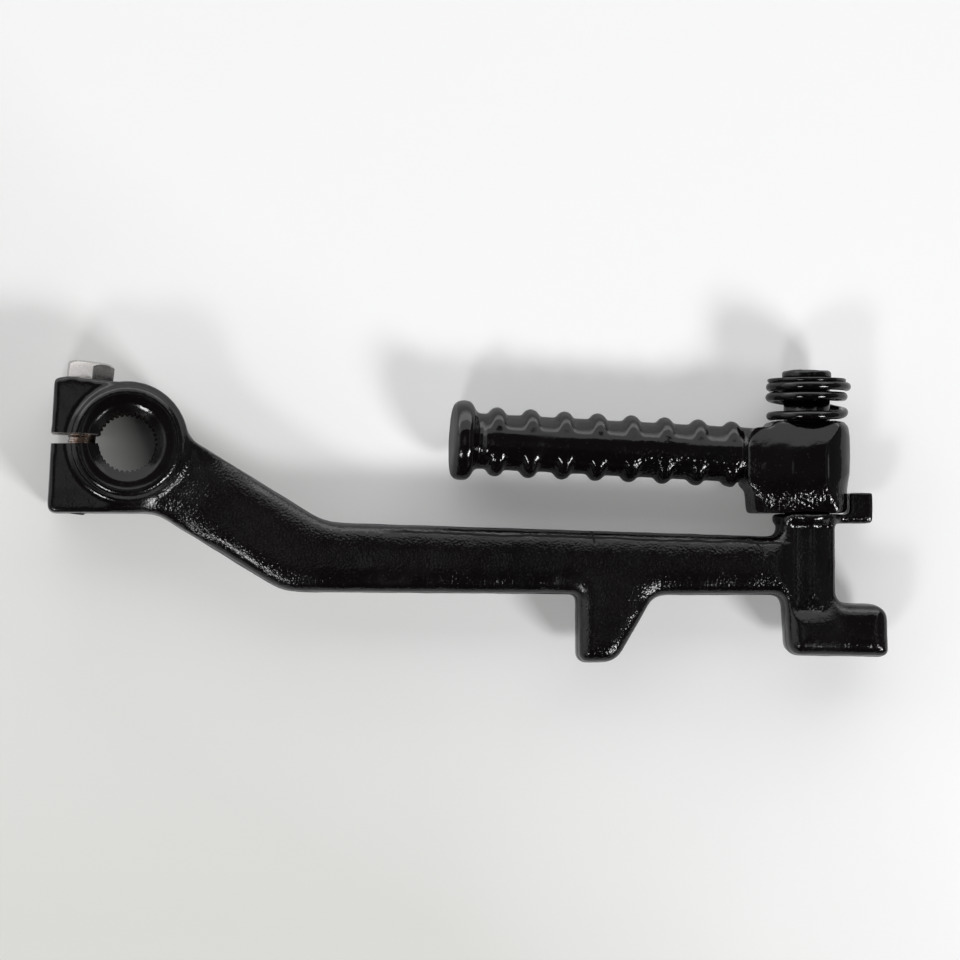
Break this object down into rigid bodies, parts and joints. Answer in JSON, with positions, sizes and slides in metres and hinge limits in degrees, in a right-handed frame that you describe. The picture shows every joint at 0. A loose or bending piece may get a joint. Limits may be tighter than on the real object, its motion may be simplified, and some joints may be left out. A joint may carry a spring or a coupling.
{
  "type": "kick start lever",
  "caption": "Cast kick start lever with a splined clamp boss, pinch bolt, cranked arm, lug and foot, and a ribbed pedal that folds on a sprung pin.",
  "frame": {"origin": "middle of the splined bore, on the casting's parting plane", "axes": "+Z along the bore, out of the boss face that the picture shows; +X along the arm towards the pedal pivot; +Y along the pivot pin towards its peened head"},
  "size_m": [0.1911, 0.0682, 0.022],
  "materials": {
    "black_paint_cast": "thick gloss black paint over a grainy casting",
    "black_paint_smooth": "thick gloss black paint, smooth",
    "black_paint_turned": "gloss black paint over turned steel",
    "black_spring_wire": "gloss black coated spring wire",
    "bright_zinc": "bright zinc plate"
  },
  "bodies": {
    "lever": {"lever_arm": "black_paint_cast", "pinch_bolt": "bright_zinc", "pivot_pin": "black_paint_turned", "pedal_spring": "black_spring_wire", "retaining_washer": "black_paint_turned"},
    "folding_pedal": {"pedal": "black_paint_smooth"}
  },
  "joints": [
    {"name": "pedal_fold", "type": "hinge", "parent": "lever", "child": "folding_pedal", "pos_m": [0.155, 0, 0], "axis": [0, 1, 0], "range_deg": [0, 90]}
  ]
}
